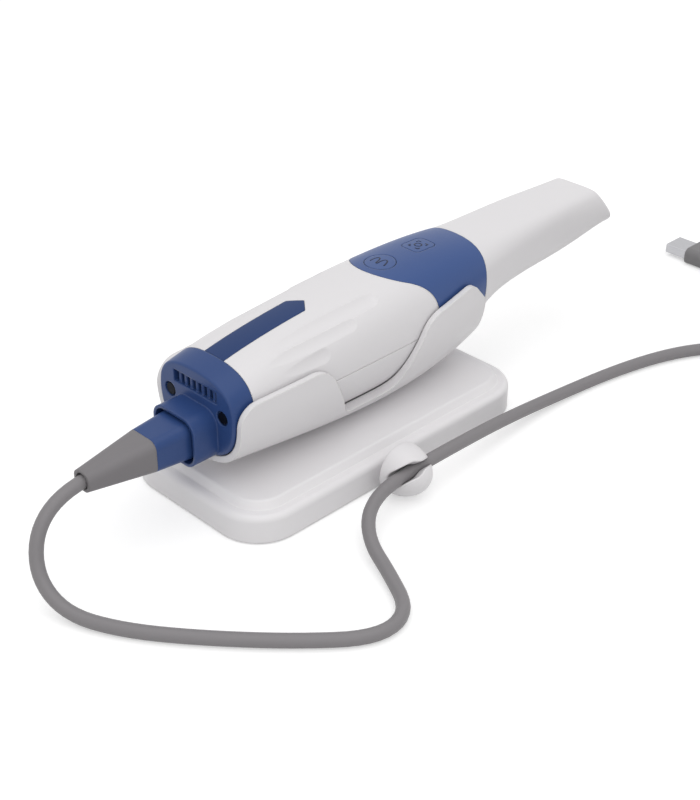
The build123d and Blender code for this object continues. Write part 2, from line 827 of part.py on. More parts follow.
with BuildPart() as fan_rotor:
    with BuildSketch(section_plane(rotor_rear_x)):
        with Locations((0, fan_z)):
            Circle(fan_hub_radius)
    extrude(amount=rotor_length)
    blade_base = Plane(
        origin=((rotor_rear_x + rotor_front_x) / 2, 0, fan_z), x_dir=(1, 0, 0), z_dir=(0, 1, 0)
    )
    blade_chord = (rotor_length - fan_blade_thickness) / cos(radians(fan_blade_pitch))
    with BuildSketch(blade_base):
        Rectangle(blade_chord * fan_blade_fill, fan_blade_thickness, rotation=fan_blade_pitch)
    one_blade = extrude(amount=fan_blade_reach)
    with BuildSketch(section_plane(rotor_front_x)):
        with Locations((0, fan_z)):
            Circle(fan_pin_radius)
    extrude(amount=fan_end_gap + fan_plate - fan_pin_fit)
    blade_axis = Axis((0, 0, fan_z), (1, 0, 0))
    for step in range(1, fan_blades):
        add(one_blade.rotate(blade_axis, 360.0 * step / fan_blades))

# Button panel with its front ring, button holes and posts for the button board
post_points = [(x, y) for x in (scan_button_x, capture_button_x) for y in (-post_y, post_y)]

with BuildPart() as panel_posts:
    with BuildSketch(Plane.XY.offset(button_board_top)):
        with Locations(post_points):
            Circle(post_radius)
    extrude(amount=high - button_board_top)
    add(handle_form.part, mode=Mode.INTERSECT)

with BuildPart() as button_panel:
    add(handle_form.part)
    add(handle_cavity.part, mode=Mode.SUBTRACT)
    add(panel_body, mode=Mode.INTERSECT)
    add(panel_posts.part)
    with BuildSketch(Plane.XY.offset(button_foot_z)):
        with Locations((scan_button_x, 0)):
            Circle(scan_button_radius + button_gap)
        with Locations((capture_button_x, 0)):
            RectangleRounded(
                capture_button_length + 2 * button_gap,
                capture_button_width + 2 * button_gap,
                capture_button_corner + button_gap,
            )
    extrude(amount=high - button_foot_z, mode=Mode.SUBTRACT)

with BuildPart() as scan_button:
    with BuildSketch(Plane.XY.offset(button_foot_z)):
        with Locations((scan_button_x, 0)):
            Circle(scan_button_radius)
    extrude(amount=high - button_foot_z)
    add(handle_form.part, mode=Mode.INTERSECT)
    with BuildSketch(Plane.XY.offset(button_foot_z)):
        with Locations((scan_button_x, 0)):
            Circle(scan_button_radius + button_flange)
    extrude(amount=button_flange_height)

with BuildPart() as capture_button:
    with BuildSketch(Plane.XY.offset(button_foot_z)):
        with Locations((capture_button_x, 0)):
            RectangleRounded(capture_button_length, capture_button_width, capture_button_corner)
    extrude(amount=high - button_foot_z)
    add(handle_form.part, mode=Mode.INTERSECT)
    with BuildSketch(Plane.XY.offset(button_foot_z)):
        with Locations((capture_button_x, 0)):
            RectangleRounded(
                capture_button_length + 2 * button_flange,
                capture_button_width + 2 * button_flange,
                capture_button_corner + button_flange,
            )
    extrude(amount=button_flange_height)

with BuildPart() as button_board:
    with BuildSketch(Plane.XY.offset(button_board_z)):
        with Locations((sum(button_board_x) / 2, 0)):
            Rectangle(button_board_x[1] - button_board_x[0], 2 * button_board_half_width)
    extrude(amount=button_board_thickness)

with BuildPart() as button_switches:
    with BuildSketch(Plane.XY.offset(button_board_top)):
        with Locations((scan_button_x, 0), (capture_button_x, 0)):
            Rectangle(switch_size, switch_size)
    extrude(amount=switch_height)
    with BuildSketch(Plane.XY.offset(button_board_top + switch_height)):
        with Locations((scan_button_x, 0), (capture_button_x, 0)):
            Circle(plunger_radius)
    extrude(amount=plunger_height)

# Nose: flange inside the front ring and a hollow snout that the tip slides over
with BuildPart() as nose_flange:
    add(handle_core.part)
    split(bisect_by=Plane.YZ.offset(front_x - flange_depth), keep=Keep.TOP)

with BuildPart() as nose:
    add(tip_core.part)
    split(bisect_by=Plane.YZ.offset(front_x + snout_length), keep=Keep.BOTTOM)
    add(nose_flange.part)
    with BuildSketch(section_plane(front_x - flange_depth)):
        with Locations((0, tunnel_z)):
            RectangleRounded(tunnel_width, tunnel_height, tunnel_corner)
    extrude(amount=flange_depth + snout_length, mode=Mode.SUBTRACT)
    with BuildSketch(section_plane(front_x + snout_length)):
        with Locations((0, tunnel_z)):
            RectangleRounded(
                tunnel_width + 2 * nose_window_ledge,
                tunnel_height + 2 * nose_window_ledge,
                tunnel_corner + nose_window_ledge,
            )
    extrude(amount=-nose_window_thickness, mode=Mode.SUBTRACT)

with BuildPart() as nose_window:
    with BuildSketch(section_plane(front_x + snout_length)):
        with Locations((0, tunnel_z)):
            RectangleRounded(
                tunnel_width + 2 * nose_window_ledge - 2 * fit,
                tunnel_height + 2 * nose_window_ledge - 2 * fit,
                tunnel_corner + nose_window_ledge - fit,
            )
    extrude(amount=-nose_window_thickness)

# Removable tip: a tapered sleeve with a slanted end, a mirror inside it and a window below
end_normal = (sin(radians(tip_end_slope)), 0, cos(radians(tip_end_slope)))
end_plane = Plane(origin=(tip_end_x, 0, tip_end_z), x_dir=(0, 1, 0), z_dir=end_normal)
mirror_back = end_plane.offset(-tip_end_wall)
mirror_face = end_plane.offset(-tip_end_wall - mirror_thickness)

with BuildPart() as tip_hollow:
    add(tip_cavity.part)
    split(bisect_by=mirror_back, keep=Keep.BOTTOM)

with BuildPart() as tip:
    add(tip_form.part)
    split(bisect_by=end_plane, keep=Keep.BOTTOM)
    fillet(tip.faces().sort_by(Axis.X)[-1].edges(), tip_end_round)
    split(bisect_by=Plane.YZ.offset(front_x + tip_gap), keep=Keep.TOP)
    add(tip_hollow.part, mode=Mode.SUBTRACT)
    with BuildSketch(Plane.XY):
        with Locations((window_x, 0)):
            RectangleRounded(window_length, 2 * window_half_width, window_corner)
    extrude(amount=window_cut_z, mode=Mode.SUBTRACT)

with BuildPart() as tip_mirror:
    loft(sections=tip_sections(-tip_wall - mirror_fit))
    split(bisect_by=mirror_back, keep=Keep.BOTTOM)
    split(bisect_by=mirror_face, keep=Keep.TOP)

# Chassis, boards and optics
with BuildPart() as chassis:
    with BuildSketch(Plane.XY.offset(chassis_z)):
        with Locations(((chassis_rear_x + chassis_front_x) / 2, 0)):
            Rectangle(chassis_front_x - chassis_rear_x, 2 * chassis_half_width)
        with Locations(chassis_screw_points):
            Circle(chassis_screw_radius + screw_fit, mode=Mode.SUBTRACT)
    extrude(amount=chassis_thickness)
    with BuildSketch(Plane.XY.offset(chassis_top)):
        with Locations([(x, y) for x in standoff_x for y in (-standoff_y, standoff_y)]):
            Circle(standoff_radius)
    extrude(amount=standoff_height)

with BuildPart() as chassis_screws:
    with BuildSketch(Plane.XY.offset(chassis_top)):
        with Locations(chassis_screw_points):
            Circle(chassis_screw_head)
    extrude(amount=chassis_screw_head_height)
    with BuildSketch(Plane.XY.offset(chassis_top)):
        with Locations(chassis_screw_points):
            Circle(chassis_screw_radius)
    extrude(amount=-chassis_screw_length)

with BuildPart() as main_board:
    with BuildSketch(Plane.XY.offset(board_z)):
        with Locations(((board_rear_x + board_front_x) / 2, 0)):
            Rectangle(board_front_x - board_rear_x, 2 * board_half_width)
    extrude(amount=board_thickness)

with BuildPart() as board_chips:
    with BuildSketch(Plane.XY.offset(board_top)):
        with Locations((chip_x, 0)):
            Rectangle(chip_size, chip_size)
        with Locations((memory_x, -memory_y), (memory_x, memory_y)):
            Rectangle(memory_length, memory_width)
    extrude(amount=chip_height)

with BuildPart() as heat_sink:
    with BuildSketch(Plane.XY.offset(board_top + chip_height)):
        with Locations((chip_x, 0)):
            Rectangle(sink_length, 2 * sink_half_width)
    extrude(amount=sink_base)
    with BuildSketch(Plane.XY.offset(board_top + chip_height + sink_base)):
        with Locations((chip_x, 0)):
            with GridLocations(1, (2 * sink_half_width - sink_fin) / (sink_fins - 1), 1, sink_fins):
                Rectangle(sink_length, sink_fin)
    extrude(amount=sink_fin_height)

barrel_points = [(-barrel_y, optics_z), (barrel_y, optics_z)]

with BuildPart() as optics_block:
    with BuildSketch(section_plane(optics_rear_x)):
        with Locations((0, optics_z)):
            Rectangle(2 * optics_half_width, optics_height)
        with Locations(barrel_points):
            Circle(barrel_radius + fit, mode=Mode.SUBTRACT)
    extrude(amount=optics_length)
    with BuildSketch(Plane.XY.offset(chassis_top)):
        with Locations((optics_rear_x + optics_length / 2, 0)):
            Rectangle(optics_foot_length, 2 * optics_foot_half_width)
    extrude(amount=optics_z - optics_height / 2 - chassis_top)


def barrel(y):
    with BuildPart() as tube:
        with BuildSketch(section_plane(optics_rear_x)):
            with Locations((y, optics_z)):
                Circle(barrel_radius)
        extrude(amount=optics_length + barrel_reach)
        with BuildSketch(section_plane(optics_front_x + barrel_reach)):
            with Locations((y, optics_z)):
                Circle(lens_radius + fit)
        extrude(amount=-lens_depth, mode=Mode.SUBTRACT)
    return tube


camera_barrel = barrel(-barrel_y)
projector_barrel = barrel(barrel_y)

with BuildPart() as lenses:
    with BuildSketch(section_plane(optics_front_x + barrel_reach)):
        with Locations(barrel_points):
            Circle(lens_radius)
    extrude(amount=-lens_depth)

with BuildPart() as sensor_board:
    with BuildSketch(section_plane(optics_rear_x)):
        with Locations((0, optics_z)):
            Rectangle(2 * optics_half_width, optics_height)
    extrude(amount=-sensor_board_thickness)

# Lead: plug held in the collar, strain relief, cable, coil and host plug
plug_width = collar_width - 2 * collar_wall - 2 * plug_gap
plug_height = collar_height - 2 * collar_wall - 2 * plug_gap

with BuildPart() as plug_body:
    with BuildSketch(section_plane(rear_x)):
        with Locations((0, plug_z)):
            RectangleRounded(plug_width, plug_height, collar_corner - collar_wall - plug_gap)
    with BuildSketch(section_plane(plug_end_x)):
        with Locations((0, plug_z)):
            RectangleRounded(plug_end_width, plug_end_height, plug_corner)
    loft()
    with BuildSketch(section_plane(rear_x)):
        with Locations((0, plug_z)):
            Circle(spigot_radius)
    extrude(amount=cap_wall)

with BuildPart() as strain_relief:
    with BuildSketch(section_plane(plug_end_x)):
        with Locations((0, plug_z)):
            RectangleRounded(plug_end_width, plug_end_height, plug_corner)
    with BuildSketch(section_plane(relief_end_x)):
        with Locations((0, plug_z)):
            RectangleRounded(relief_end_width, relief_end_height, relief_end_corner)
    loft()
    with BuildSketch(section_plane(relief_end_x)):
        with Locations((0, plug_z)):
            Circle(relief_mouth_radius)
    extrude(amount=relief_mouth_depth, mode=Mode.SUBTRACT)


# Largest tangent arc that each corner of a route allows
def route_radii(route):
    points = [Vector(*point) for point in route]
    radii = []
    for before, corner, after in zip(points, points[1:], points[2:]):
        shorter = min((corner - before).length, (after - corner).length)
        turn = (corner - before).get_angle(after - corner)
        radii.append(0.45 * shorter / tan(radians(turn / 2)))
    return radii


def cord(route):
    radii = route_radii(route)
    with BuildPart() as tube:
        with BuildLine():
            path = FilletPolyline(*route, radius=radii)
        with BuildSketch(Plane(origin=path @ 0, z_dir=path % 0)):
            Circle(cable_radius)
        sweep(path=path)
    ratio = tube.part.volume / (pi * cable_radius**2 * path.length)
    print("cord length", round(path.length, 1), "volume ratio", round(ratio, 5))
    print("cord radii", [round(radius, 1) for radius in radii])
    return tube


cable = cord(cable_route)
cable_tail = cord(tail_route)

with BuildPart() as cable_coil:
    with BuildSketch(Plane.XY.offset(coil_lift)):
        with Locations((coil_x, coil_y)):
            Circle(coil_outer_turn + cable_radius)
            Circle(coil_inner_turn - cable_radius, mode=Mode.SUBTRACT)
    extrude(amount=coil_top - coil_lift)

# Strap round the coil's bundle
with BuildPart() as coil_tie:
    tie_plane = Plane(
        origin=(coil_x, coil_y, 0),
        x_dir=(cos(radians(tie_place)), sin(radians(tie_place)), 0),
        z_dir=(sin(radians(tie_place)), -cos(radians(tie_place)), 0),
    )
    bundle_width = coil_outer_turn - coil_inner_turn + 2 * cable_radius
    bundle_middle = ((coil_outer_turn + coil_inner_turn) / 2, (coil_lift + coil_top) / 2)
    with BuildSketch(tie_plane):
        with Locations(bundle_middle):
            Rectangle(bundle_width + 2 * tie_thickness, coil_top - coil_lift + 2 * tie_thickness)
            Rectangle(bundle_width + 2 * fit, coil_top - coil_lift + 2 * fit, mode=Mode.SUBTRACT)
    revolve(axis=Axis((coil_x, coil_y, 0), (0, 0, 1)), revolution_arc=tie_angle)

grip_plane = Plane(origin=(plug_grip_x, plug_grip_y, 0), x_dir=(1, 0, 0), z_dir=(0, -1, 0))

with BuildPart() as plug_grip:
    with BuildSketch(grip_plane):
        with Locations((0, plug_grip_height / 2)):
            RectangleRounded(plug_grip_width, plug_grip_height, plug_grip_corner)
    extrude(amount=-plug_grip_length)

with BuildPart() as plug_shell:
    with BuildSketch(grip_plane.offset(-plug_grip_length)):
        with Locations((0, plug_grip_height / 2)):
            RectangleRounded(plug_shell_width, plug_shell_height, plug_shell_corner)
            Rectangle(
                plug_shell_width - 2 * plug_shell_wall,
                plug_shell_height - 2 * plug_shell_wall,
                mode=Mode.SUBTRACT,
            )
    extrude(amount=-plug_shell_length)
    with BuildSketch(grip_plane.offset(-plug_grip_length)):
        with Locations((0, plug_grip_height / 2 + (plug_shell_height - tongue_height) / 2 - plug_shell_wall)):
            Rectangle(plug_shell_width - 2 * plug_shell_wall, tongue_height)
    extrude(amount=-plug_shell_length + tongue_setback)

pieces = {
    "anti_slip_mat": anti_slip_mat,
    "base_plate": base_plate,
    "base_cover": base_cover,
    "base_screws": base_screws,
    "ballast": ballast,
    "cradle": cradle,
    "cradle_screws": cradle_screws,
    "cable_clip": cable_clip,
    "upper_shell": upper_shell,
    "top_strip": top_strip,
    "lower_shell": lower_shell,
    "rear_cap": rear_cap,
    "rear_frame": rear_frame,
    "cap_screws": cap_screws,
    "fan_frame": fan_frame,
    "fan_rotor": fan_rotor,
    "button_panel": button_panel,
    "scan_button": scan_button,
    "capture_button": capture_button,
    "button_board": button_board,
    "button_switches": button_switches,
    "nose": nose,
    "nose_window": nose_window,
    "tip": tip,
    "tip_mirror": tip_mirror,
    "chassis": chassis,
    "chassis_screws": chassis_screws,
    "main_board": main_board,
    "board_chips": board_chips,
    "heat_sink": heat_sink,
    "optics_block": optics_block,
    "camera_barrel": camera_barrel,
    "projector_barrel": projector_barrel,
    "lenses": lenses,
    "sensor_board": sensor_board,
    "plug_body": plug_body,
    "strain_relief": strain_relief,
    "cable": cable,
    "cable_tail": cable_tail,
    "cable_coil": cable_coil,
    "coil_tie": coil_tie,
    "plug_grip": plug_grip,
    "plug_shell": plug_shell,
}

os.makedirs("parts", exist_ok=True)
for name, piece in pieces.items():
    piece.part.label = name
    export_step(piece.part, f"parts/{name}.step")
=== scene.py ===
from math import cos, pi, radians, sin

import bpy
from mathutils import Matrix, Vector


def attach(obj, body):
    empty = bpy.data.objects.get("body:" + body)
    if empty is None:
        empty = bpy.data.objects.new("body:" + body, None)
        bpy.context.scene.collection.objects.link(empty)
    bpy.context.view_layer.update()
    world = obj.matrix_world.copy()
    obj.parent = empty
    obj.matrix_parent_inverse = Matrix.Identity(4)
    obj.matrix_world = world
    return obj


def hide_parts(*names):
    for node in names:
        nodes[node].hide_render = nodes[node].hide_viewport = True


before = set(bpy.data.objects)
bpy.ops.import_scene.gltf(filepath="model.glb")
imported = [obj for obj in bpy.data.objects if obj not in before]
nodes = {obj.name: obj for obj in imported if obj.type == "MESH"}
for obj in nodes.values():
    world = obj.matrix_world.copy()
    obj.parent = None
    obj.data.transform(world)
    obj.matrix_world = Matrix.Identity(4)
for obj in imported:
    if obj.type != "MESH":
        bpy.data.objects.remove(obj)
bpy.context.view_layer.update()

print("frame loaded with", len(nodes), "nodes")


# Camera at the angle of the photograph
camera = {
    "lens": 66.19,
    "sensor": 36.0,
    "target": (-0.009478, -0.020516, 0.030),
    "azimuth": -44.514,
    "elevation": 31.654,
    "distance": 0.56185,
    "clipStart": 0.01,
}


def addCamera(spec):
    turn = radians(spec["azimuth"])
    rise = radians(spec["elevation"])
    back = Vector((sin(turn) * cos(rise), -cos(turn) * cos(rise), sin(rise)))
    bpy.ops.object.camera_add(
        location=Vector(spec["target"]) + back * spec["distance"],
        rotation=(-back).to_track_quat("-Z", "Y").to_euler(),
    )
    made = bpy.context.object
    made.name = "photoCamera"
    made.data.lens = spec["lens"]
    made.data.sensor_width = spec["sensor"]
    made.data.clip_start = spec["clipStart"]
    bpy.context.scene.camera = made


addCamera(camera)
print("camera placed")


# Lead: one spline from the strain relief through the clip to the coil and the plug, in metres
lead = {
    "length": 2.04,
    "diameter": 0.0052,
    "sides": 5,                  # bevel steps of the tube
    "steps": 6,                  # between two points of the spline
    "start": [
        (-0.1128, 0.0, 0.0354),
        (-0.1258, 0.0, 0.0354),
        (-0.1396, -0.0013, 0.0266),
        (-0.1449, -0.0065, 0.0118),
        (-0.1438, -0.0205, 0.0033),
        (-0.135, -0.0398, 0.0027),
        (-0.119, -0.061, 0.0027),
        (-0.098, -0.084, 0.0027),
        (-0.077, -0.1024, 0.0027),
        (-0.060, -0.1005, 0.0027),
        (-0.0505, -0.082, 0.0034),
        (-0.045, -0.0663, 0.0062),
        (-0.0352, -0.056, 0.010),
        (-0.0195, -0.0521, 0.0123),
        (0.013, -0.0521, 0.0123),
        (0.050, -0.0486, 0.0076),
        (0.088, -0.0474, 0.0027),
        (0.122, -0.0522, 0.0027),
        (0.150, -0.060, 0.0027),
        (0.1695, -0.0715, 0.0027),
        (0.1798, -0.088, 0.0027),
    ],
    "end": [
        (0.2432, -0.080, 0.0052),
        (0.2412, -0.066, 0.0042),
        (0.240, -0.054, 0.004),
        (0.240, -0.044, 0.004),
    ],
}

coil = {
    "centre": (0.212, -0.092),
    "innerRadius": 0.0259,
    "ringStep": 0.0053,          # from the inner ring to the outer one
    "layerStep": 0.0055,
    "floorGap": 0.00275,
    "entryAngle": 201.0,
    "exitAngle": 0.0,
    "climbTurns": 4,
    "fallTurns": 3,
    "fallFrom": 0.2,             # share of a turn where it leaves its layer
    "fallSpan": 0.5,
    "pointsPerTurn": 16,
    "tieAngle": 68.0,            # middle of the strap
    "tieLift": 0.00135,          # the strap lifts the bundle off the table
    "tieSpread": 60.0,
}


def easeStep(t):
    t = min(1.0, max(0.0, t))
    return t * t * (3 - 2 * t)


def coilPoints(spec):
    step = 360.0 / spec["pointsPerTurn"]
    stretch = 1.0 / cos(radians(step / 2))   # control points lie outside the turn
    halfTurn = spec["pointsPerTurn"] // 2
    climb = spec["climbTurns"] * spec["pointsPerTurn"]
    lastPart = (spec["exitAngle"] - spec["entryAngle"]) % 360 / 360
    fall = int((spec["fallTurns"] + lastPart) * spec["pointsPerTurn"])
    top = spec["floorGap"] + spec["climbTurns"] * spec["layerStep"]
    places = []
    for i in range(halfTurn):                # inward on the table
        places.append((spec["ringStep"] * cos(pi / 2 * i / halfTurn), spec["floorGap"]))
    for i in range(climb):                   # up the inner ring
        places.append((0.0, spec["floorGap"] + spec["layerStep"] * i / spec["pointsPerTurn"]))
    for i in range(halfTurn):                # outward on the top
        places.append((spec["ringStep"] * sin(pi / 2 * i / halfTurn), top))
    for i in range(fall):                    # down the outer ring, one layer each turn
        turns, part = divmod(i / spec["pointsPerTurn"], 1)
        fallen = turns + easeStep((part - spec["fallFrom"]) / spec["fallSpan"])
        places.append((spec["ringStep"], top - spec["layerStep"] * fallen))
    points = []
    for i, (outward, height) in enumerate(places):
        angle = spec["entryAngle"] + step * i
        away = abs((angle - spec["tieAngle"] + 180) % 360 - 180)
        lift = spec["tieLift"] * easeStep(1 - away / spec["tieSpread"])
        reach = (spec["innerRadius"] + outward) * stretch
        x = spec["centre"][0] + reach * cos(radians(angle))
        y = spec["centre"][1] + reach * sin(radians(angle))
        points.append((x, y, height + lift))
    return points


def addLead(spec):
    route = spec["start"] + coilPoints(coil) + spec["end"]
    line = bpy.data.curves.new("lead", "CURVE")
    line.dimensions = "3D"
    spline = line.splines.new("NURBS")
    spline.points.add(len(route) - 1)
    for point, place in zip(spline.points, route):
        point.co = (*place, 1.0)
        point.radius = spec["diameter"] / 2  # so that the curve's box is the tube's
    spline.order_u = 3
    spline.use_endpoint_u = True
    spline.resolution_u = spec["steps"]
    spline.use_smooth = True
    line.bevel_depth = 1.0
    line.bevel_resolution = spec["sides"]
    line.use_fill_caps = True
    made = bpy.data.objects.new("lead", line)
    bpy.context.scene.collection.objects.link(made)
    return made


leadCord = addLead(lead)
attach(leadCord, "holder")
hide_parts("cable", "cable_tail", "cable_coil")
print("lead laid")


# Strap of hook-and-loop tape round the coil, with its free end folded over the outside
strap = {
    "width": 0.0085,
    "thickness": 0.0011,
    "inside": 0.0233,            # from the coil's middle to the strap's inner wall
    "outside": 0.0340,
    "low": 0.0014,
    "high": 0.0289,
    "corner": 0.0048,
    "cornerSegments": 7,
    "endRise": 0.012,            # the free end starts this far up the outer wall
    "endFacing": 0.2,            # least outward share of a normal in it
    "endShare": 0.8,             # its thickness, as a share of the strap's
    "wallBand": 0.001,           # rounded corners that the free end follows
    "edgeRound": 0.00025,
    "edgeSegments": 2,
    "crease": 40.0,
}
mergeGap = 0.000002
squareOn = 0.9                   # a face looks along an axis above this share of its normal


def finishShape():
    bpy.ops.mesh.select_all(action="SELECT")
    bpy.ops.mesh.remove_doubles(threshold=mergeGap)
    bpy.ops.mesh.normals_make_consistent(inside=False)
    bpy.ops.object.mode_set(mode="OBJECT")


def startPiece(name):
    bpy.ops.object.select_all(action="DESELECT")
    bpy.ops.mesh.primitive_cube_add(size=1)
    made = bpy.context.object
    made.name = name
    bpy.ops.object.mode_set(mode="EDIT")
    bpy.ops.mesh.select_mode(type="FACE")
    return made


def pickFaces(piece, test):
    bpy.ops.mesh.select_all(action="DESELECT")
    bpy.ops.object.mode_set(mode="OBJECT")
    for face in piece.data.polygons:
        face.select = test(face)
    bpy.ops.object.mode_set(mode="EDIT")


def pickEdges(piece, test):
    bpy.ops.mesh.select_all(action="DESELECT")
    bpy.ops.mesh.select_mode(type="EDGE")
    bpy.ops.object.mode_set(mode="OBJECT")
    points = piece.data.vertices
    for edge in piece.data.edges:
        edge.select = test(points[edge.vertices[0]].co, points[edge.vertices[1]].co)
    bpy.ops.object.mode_set(mode="EDIT")


def applyModifier(piece, kind, **values):
    step = piece.modifiers.new(kind.lower(), kind)
    for label, value in values.items():
        setattr(step, label, value)
    bpy.ops.object.modifier_apply(modifier=step.name)


def addStrap(spec, ring):
    made = startPiece("coilStrap")
    depth = spec["outside"] - spec["inside"]
    height = spec["high"] - spec["low"]
    bpy.ops.transform.resize(value=(depth, spec["width"], height))
    middle = ((spec["outside"] + spec["inside"]) / 2, 0, (spec["high"] + spec["low"]) / 2)
    bpy.ops.transform.translate(value=middle)
    pickFaces(made, lambda face: abs(face.normal.y) > squareOn)
    bpy.ops.mesh.delete(type="FACE")
    pickEdges(made, lambda a, b: abs(a.y - b.y) > spec["width"] / 2)
    bpy.ops.mesh.bevel(offset=spec["corner"], segments=spec["cornerSegments"])
    bpy.ops.mesh.select_all(action="SELECT")
    bpy.ops.mesh.normals_make_consistent(inside=False)
    bpy.ops.object.mode_set(mode="OBJECT")
    applyModifier(made, "SOLIDIFY", thickness=spec["thickness"], offset=1.0)
    bpy.ops.object.mode_set(mode="EDIT")
    outerWall = spec["outside"] + spec["thickness"] / 2
    pickFaces(made, lambda face: face.normal.x > squareOn and face.center.x > outerWall)
    bpy.ops.mesh.bisect(plane_co=(0, 0, spec["endRise"]), plane_no=(0, 0, 1))
    bpy.ops.mesh.select_mode(type="FACE")

    def onFreeEnd(face):
        outward = face.normal.x > spec["endFacing"] and face.center.x > outerWall - spec["wallBand"]
        return outward and face.center.z > spec["endRise"]

    pickFaces(made, onFreeEnd)
    bpy.ops.mesh.extrude_region_shrink_fatten(
        TRANSFORM_OT_shrink_fatten={"value": spec["thickness"] * spec["endShare"]},
    )
    bpy.ops.mesh.select_all(action="SELECT")
    bpy.ops.transform.rotate(
        value=-radians(ring["tieAngle"]), orient_axis="Z", center_override=(0, 0, 0),
    )
    bpy.ops.transform.translate(value=(*ring["centre"], 0))
    bpy.ops.object.mode_set(mode="OBJECT")
    crease = radians(spec["crease"])
    applyModifier(
        made,
        "BEVEL",
        width=spec["edgeRound"],
        segments=spec["edgeSegments"],
        limit_method="ANGLE",
        angle_limit=crease,
    )
    bpy.ops.object.shade_smooth_by_angle(angle=crease)
    return made


coilStrap = addStrap(strap, coil)
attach(coilStrap, "holder")
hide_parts("coil_tie")
print("strap round the coil")


# Tip: the frame's sleeve, broader toward its end as in the photograph
tipShape = {
    "start": 0.070,              # at the front ring
    "full": 0.122,
    "widen": 0.135,
    "deepFrom": 0.105,           # the underside sinks from here to the end
    "deepFull": 0.150,
    "deepen": 0.10,
    "ridge": 0.066,              # height that stays where it is
    "crease": 35.0,
}


def copyNode(name, node):
    made = bpy.data.objects.new(name, nodes[node].data.copy())
    bpy.context.scene.collection.objects.link(made)
    bpy.ops.object.select_all(action="DESELECT")
    made.select_set(True)
    bpy.context.view_layer.objects.active = made
    bpy.ops.mesh.customdata_custom_splitnormals_clear()
    bpy.ops.object.mode_set(mode="EDIT")
    finishShape()
    return made


def addTip(spec):
    made = copyNode("tipSleeve", "tip")
    for point in made.data.vertices:
        share = easeStep((point.co.x - spec["start"]) / (spec["full"] - spec["start"]))
        sink = easeStep((point.co.x - spec["deepFrom"]) / (spec["deepFull"] - spec["deepFrom"]))
        point.co.y *= 1 + spec["widen"] * share
        point.co.z -= (spec["ridge"] - point.co.z) * spec["deepen"] * sink
    bpy.ops.object.shade_smooth_by_angle(angle=radians(spec["crease"]))
    return made


tipSleeve = addTip(tipShape)
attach(tipSleeve, "tip")
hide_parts("tip")
print("tip on the nose")


# Clip: a domed bud on a stem, slit so that the lead snaps in
clip = {
    "middle": (-0.0083, -0.0455, 0.0109),    # middle of the bud's flat back
    "radius": 0.0105,
    "reach": 0.0149,
    "segments": 96,
    "rings": 48,
    "stem": {"radius": 0.0034, "height": 0.0058, "length": 0.0065, "sunk": 1 / 6},
    "channel": {"y": -0.0521, "z": 0.0123, "radius": 0.00295, "span": 4.0},
    "rodSides": 64,
    "slotLift": 41.0,
    "slot": [                                # along the lead, and half the slot's width there
        (-0.0140, 0.0030),
        (-0.0034, 0.0030),
        (-0.0018, 0.0028),
        (0.0006, 0.0017),
        (0.0022, 0.0014),
        (0.0072, 0.0014),
        (0.0084, 0.0017),
        (0.0092, 0.0024),
        (0.0098, 0.0036),
        (0.0140, 0.0060),
    ],
    "voxel": 0.00025,
    "rimSmooth": 7,
    "rimFactor": 0.5,
}


def cutWith(piece, tool, operation):
    step = piece.modifiers.new("cut", "BOOLEAN")
    step.operation = operation
    step.solver = "EXACT"
    step.object = tool
    bpy.ops.object.select_all(action="DESELECT")
    piece.select_set(True)
    bpy.context.view_layer.objects.active = piece
    bpy.ops.object.modifier_apply(modifier=step.name)
    bpy.data.objects.remove(tool)


def addBud(spec):
    bpy.ops.object.select_all(action="DESELECT")
    bpy.ops.mesh.primitive_uv_sphere_add(segments=spec["segments"], ring_count=spec["rings"], radius=1)
    made = bpy.context.object
    made.name = "budClip"
    bpy.ops.object.mode_set(mode="EDIT")
    bpy.ops.transform.resize(value=(spec["radius"], spec["reach"], spec["radius"]))
    bpy.ops.mesh.select_all(action="SELECT")
    bpy.ops.mesh.bisect(plane_co=(0, 0, 0), plane_no=(0, 1, 0), clear_outer=True)
    bpy.ops.mesh.select_mode(type="EDGE")
    bpy.ops.mesh.select_all(action="DESELECT")
    bpy.ops.mesh.select_non_manifold()
    bpy.ops.mesh.edge_face_add()             # flat back of the bud
    bpy.ops.mesh.select_all(action="SELECT")
    bpy.ops.transform.translate(value=spec["middle"])
    finishShape()
    return made


def addRod(sides, radius, length, place, turn):
    bpy.ops.object.select_all(action="DESELECT")
    bpy.ops.mesh.primitive_cylinder_add(
        vertices=sides, radius=radius, depth=length, location=place, rotation=turn,
    )
    made = bpy.context.object
    bpy.ops.object.transform_apply()
    return made


def addSlotTool(spec):
    made = startPiece("slotTool")
    first = spec["slot"][0][0]
    last = spec["slot"][-1][0]
    bpy.ops.transform.resize(value=(last - first, 2, 2 * spec["reach"]))
    bpy.ops.transform.translate(value=((first + last) / 2, 0, spec["reach"]))
    for row in spec["slot"][1:-1]:
        bpy.ops.mesh.select_all(action="SELECT")
        bpy.ops.mesh.bisect(plane_co=(row[0], 0, 0), plane_no=(1, 0, 0))
    bpy.ops.object.mode_set(mode="OBJECT")
    for point in made.data.vertices:         # each rib of the cutter takes its own width
        half = min(spec["slot"], key=lambda row: abs(row[0] - point.co.x))[1]
        point.co.y *= half
    lift = radians(90 - spec["slotLift"])
    made.rotation_euler = (lift, 0, 0)
    made.location = (spec["middle"][0], spec["channel"]["y"], spec["channel"]["z"])
    bpy.ops.object.transform_apply()
    return made


